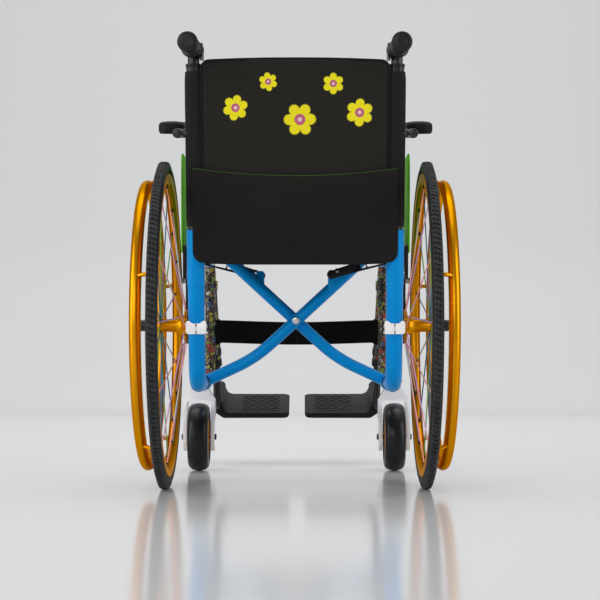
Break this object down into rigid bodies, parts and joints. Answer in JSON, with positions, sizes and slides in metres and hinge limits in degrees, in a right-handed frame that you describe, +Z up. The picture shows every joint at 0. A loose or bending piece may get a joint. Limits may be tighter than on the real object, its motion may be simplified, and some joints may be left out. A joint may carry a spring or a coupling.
{
  "type": "folding active wheelchair",
  "caption": "Folding active wheelchair: cross-braced frame, quick-release spoked wheels with push rims, swivel casters, flip-up armrests, swing-away leg supports.",
  "frame": {"origin": "on the floor, under the centre of the whole chair's box", "axes": "+Y forward, towards the footplates; +X to the chair's right; +Z up"},
  "size_m": [0.571, 1.0378, 0.7826],
  "materials": {
    "blue_lacquer": "gloss",
    "dark_blue_lacquer": "gloss",
    "black_lacquer": "satin",
    "white_lacquer": "gloss",
    "black_metal": "satin",
    "bright_steel": "satin",
    "gold_anodised": "gloss",
    "tyre_rubber": "matt",
    "caster_rubber": "matt",
    "grip_rubber": "matt",
    "pad_foam": "satin",
    "green_plastic": "satin",
    "black_plastic": "matt",
    "black_fabric": "woven"
  },
  "bodies": {
    "left_frame": {"left_side_frame": "blue_lacquer", "left_back_cane": "black_lacquer", "left_push_handle": "black_lacquer", "left_axle_clamp": "white_lacquer", "left_guard_holder": "black_plastic", "left_side_guard": "green_plastic", "left_brake_base": "black_metal", "back_sling": "black_fabric", "seat_sling": "black_fabric"},
    "right_frame": {"right_side_frame": "blue_lacquer", "right_back_cane": "black_lacquer", "right_push_handle": "black_lacquer", "right_axle_clamp": "white_lacquer", "right_guard_holder": "black_plastic", "right_side_guard": "green_plastic", "right_brake_base": "black_metal"},
    "left_arm": {"left_cross_arm": "dark_blue_lacquer", "pivot_bolt": "bright_steel"},
    "right_arm": {"right_cross_arm": "dark_blue_lacquer"},
    "left_link": {"left_stabiliser_link": "black_plastic"},
    "left_axle": {"left_wheel_axle": "black_metal"},
    "left_axle_release": {"left_axle_button": "bright_steel"},
    "left_wheel": {"left_rear_hub": "gold_anodised", "left_rear_rim": "gold_anodised", "left_rear_tyre": "tyre_rubber", "left_handrim": "gold_anodised"},
    "left_caster": {"left_caster_fork": "white_lacquer", "left_caster_axle": "black_metal"},
    "left_caster_wheel": {"left_caster_rim": "gold_anodised", "left_caster_tyre": "caster_rubber"},
    "left_brake": {"left_brake_lever": "black_metal"},
    "left_armrest": {"left_armrest_tube": "black_lacquer", "left_armrest_pad": "pad_foam"},
    "left_grip": {"left_handle_grip": "grip_rubber"},
    "left_leg": {"left_hanger": "black_lacquer", "left_foot_tube": "black_metal", "left_calf_strap": "black_fabric"},
    "left_latch": {"left_hanger_latch": "black_plastic"},
    "left_plate": {"left_footplate": "black_plastic"},
    "right_link": {"right_stabiliser_link": "black_plastic"},
    "right_axle": {"right_wheel_axle": "black_metal"},
    "right_axle_release": {"right_axle_button": "bright_steel"},
    "right_wheel": {"right_rear_hub": "gold_anodised", "right_rear_rim": "gold_anodised", "right_rear_tyre": "tyre_rubber", "right_handrim": "gold_anodised"},
    "right_caster": {"right_caster_fork": "white_lacquer", "right_caster_axle": "black_metal"},
    "right_caster_wheel": {"right_caster_rim": "gold_anodised", "right_caster_tyre": "caster_rubber"},
    "right_brake": {"right_brake_lever": "black_metal"},
    "right_armrest": {"right_armrest_tube": "black_lacquer", "right_armrest_pad": "pad_foam"},
    "right_grip": {"right_handle_grip": "grip_rubber"},
    "right_leg": {"right_hanger": "black_lacquer", "right_foot_tube": "black_metal", "right_calf_strap": "black_fabric"},
    "right_latch": {"right_hanger_latch": "black_plastic"},
    "right_plate": {"right_footplate": "black_plastic"}
  },
  "joints": [
    {"name": "fold", "type": "hinge", "parent": "left_frame", "child": "left_arm", "pos_m": [-0.177, -0.07389, 0.189], "axis": [0, -1, 0], "range_deg": [0, 39], "deforming": ["back_sling", "seat_sling", "left_calf_strap", "right_calf_strap"]},
    {"name": "cross_pivot", "type": "hinge", "parent": "left_arm", "child": "right_arm", "pos_m": [0, -0.07389, 0.3063], "axis": [0, -1, 0], "range_deg": [-78, 0]},
    {"name": "right_rail_pivot", "type": "hinge", "parent": "right_arm", "child": "right_frame", "pos_m": [0.177, -0.07389, 0.189], "axis": [0, -1, 0], "range_deg": [0, 39]},
    {"name": "left_link_pivot", "type": "hinge", "parent": "left_frame", "child": "left_link", "pos_m": [-0.177, -0.05029, 0.432], "axis": [0, -1, 0], "range_deg": [0, 70.2]},
    {"name": "left_axle_pull", "type": "slide", "parent": "left_frame", "child": "left_axle", "axis": [-1, 0, 0], "range_m": [0, 0.125]},
    {"name": "left_axle_press", "type": "slide", "parent": "left_axle", "child": "left_axle_release", "axis": [1, 0, 0], "range_m": [0, 0.003], "stiffness_N_per_m": 800, "springref_m": -0.001},
    {"name": "left_wheel_spin", "type": "hinge", "parent": "left_axle", "child": "left_wheel", "pos_m": [-0.235, -0.22389, 0.295], "axis": [1, 0, 0], "continuous": true},
    {"name": "left_caster_swivel", "type": "hinge", "parent": "left_frame", "child": "left_caster", "pos_m": [-0.203, 0.25211, 0.2], "axis": [0, 0, 1], "continuous": true},
    {"name": "left_caster_spin", "type": "hinge", "parent": "left_caster", "child": "left_caster_wheel", "pos_m": [-0.203, 0.21611, 0.07], "axis": [1, 0, 0], "continuous": true},
    {"name": "left_wheel_lock", "type": "hinge", "parent": "left_frame", "child": "left_brake", "pos_m": [-0.197, 0.08811, 0.372], "axis": [1, 0, 0], "range_deg": [0, 45]},
    {"name": "left_armrest_flip", "type": "hinge", "parent": "left_frame", "child": "left_armrest", "pos_m": [-0.2068, -0.31414, 0.631], "axis": [1, 0, 0], "range_deg": [0, 97]},
    {"name": "left_grip_fold", "type": "hinge", "parent": "left_frame", "child": "left_grip", "pos_m": [-0.177, -0.36279, 0.768], "axis": [1, 0, 0], "range_deg": [0, 70]},
    {"name": "left_leg_swing", "type": "hinge", "parent": "left_frame", "child": "left_leg", "pos_m": [-0.1805, 0.22811, 0.34], "axis": [0, 0, 1], "range_deg": [0, 90]},
    {"name": "left_latch_press", "type": "hinge", "parent": "left_leg", "child": "left_latch", "pos_m": [-0.195, 0.27988, 0.352], "axis": [1, 0, 0], "range_deg": [0, 18], "stiffness_Nm_per_rad": 0.2, "springref_deg": -5.73},
    {"name": "left_footplate_flip", "type": "hinge", "parent": "left_leg", "child": "left_plate", "pos_m": [-0.172, 0.36611, 0.13171], "axis": [0, -0.9659, -0.2588], "range_deg": [0, 117]},
    {"name": "right_link_pivot", "type": "hinge", "parent": "right_frame", "child": "right_link", "pos_m": [0.177, -0.09749, 0.432], "axis": [0, 1, 0], "range_deg": [0, 70.2]},
    {"name": "right_axle_pull", "type": "slide", "parent": "right_frame", "child": "right_axle", "axis": [1, 0, 0], "range_m": [0, 0.125]},
    {"name": "right_axle_press", "type": "slide", "parent": "right_axle", "child": "right_axle_release", "axis": [-1, 0, 0], "range_m": [0, 0.003], "stiffness_N_per_m": 800, "springref_m": -0.001},
    {"name": "right_wheel_spin", "type": "hinge", "parent": "right_axle", "child": "right_wheel", "pos_m": [0.235, -0.22389, 0.295], "axis": [1, 0, 0], "continuous": true},
    {"name": "right_caster_swivel", "type": "hinge", "parent": "right_frame", "child": "right_caster", "pos_m": [0.203, 0.25211, 0.2], "axis": [0, 0, 1], "continuous": true},
    {"name": "right_caster_spin", "type": "hinge", "parent": "right_caster", "child": "right_caster_wheel", "pos_m": [0.203, 0.21611, 0.07], "axis": [1, 0, 0], "continuous": true},
    {"name": "right_wheel_lock", "type": "hinge", "parent": "right_frame", "child": "right_brake", "pos_m": [0.197, 0.08811, 0.372], "axis": [1, 0, 0], "range_deg": [0, 45]},
    {"name": "right_armrest_flip", "type": "hinge", "parent": "right_frame", "child": "right_armrest", "pos_m": [0.2068, -0.31414, 0.631], "axis": [1, 0, 0], "range_deg": [0, 97]},
    {"name": "right_grip_fold", "type": "hinge", "parent": "right_frame", "child": "right_grip", "pos_m": [0.177, -0.36279, 0.768], "axis": [1, 0, 0], "range_deg": [0, 70]},
    {"name": "right_leg_swing", "type": "hinge", "parent": "right_frame", "child": "right_leg", "pos_m": [0.1805, 0.22811, 0.34], "axis": [0, 0, -1], "range_deg": [0, 90]},
    {"name": "right_latch_press", "type": "hinge", "parent": "right_leg", "child": "right_latch", "pos_m": [0.195, 0.27988, 0.352], "axis": [1, 0, 0], "range_deg": [0, 18], "stiffness_Nm_per_rad": 0.2, "springref_deg": -5.73},
    {"name": "right_footplate_flip", "type": "hinge", "parent": "right_leg", "child": "right_plate", "pos_m": [0.172, 0.36611, 0.13171], "axis": [0, 0.9659, 0.2588], "range_deg": [0, 117]}
  ],
  "couplings": [
    {"joint": "cross_pivot", "follows": "fold", "ratio": -2},
    {"joint": "right_rail_pivot", "follows": "fold", "ratio": 1},
    {"joint": "left_link_pivot", "follows": "fold", "ratio": 1.8},
    {"joint": "left_footplate_flip", "follows": "fold", "ratio": 3},
    {"joint": "right_link_pivot", "follows": "fold", "ratio": 1.8},
    {"joint": "right_footplate_flip", "follows": "fold", "ratio": 3}
  ]
}
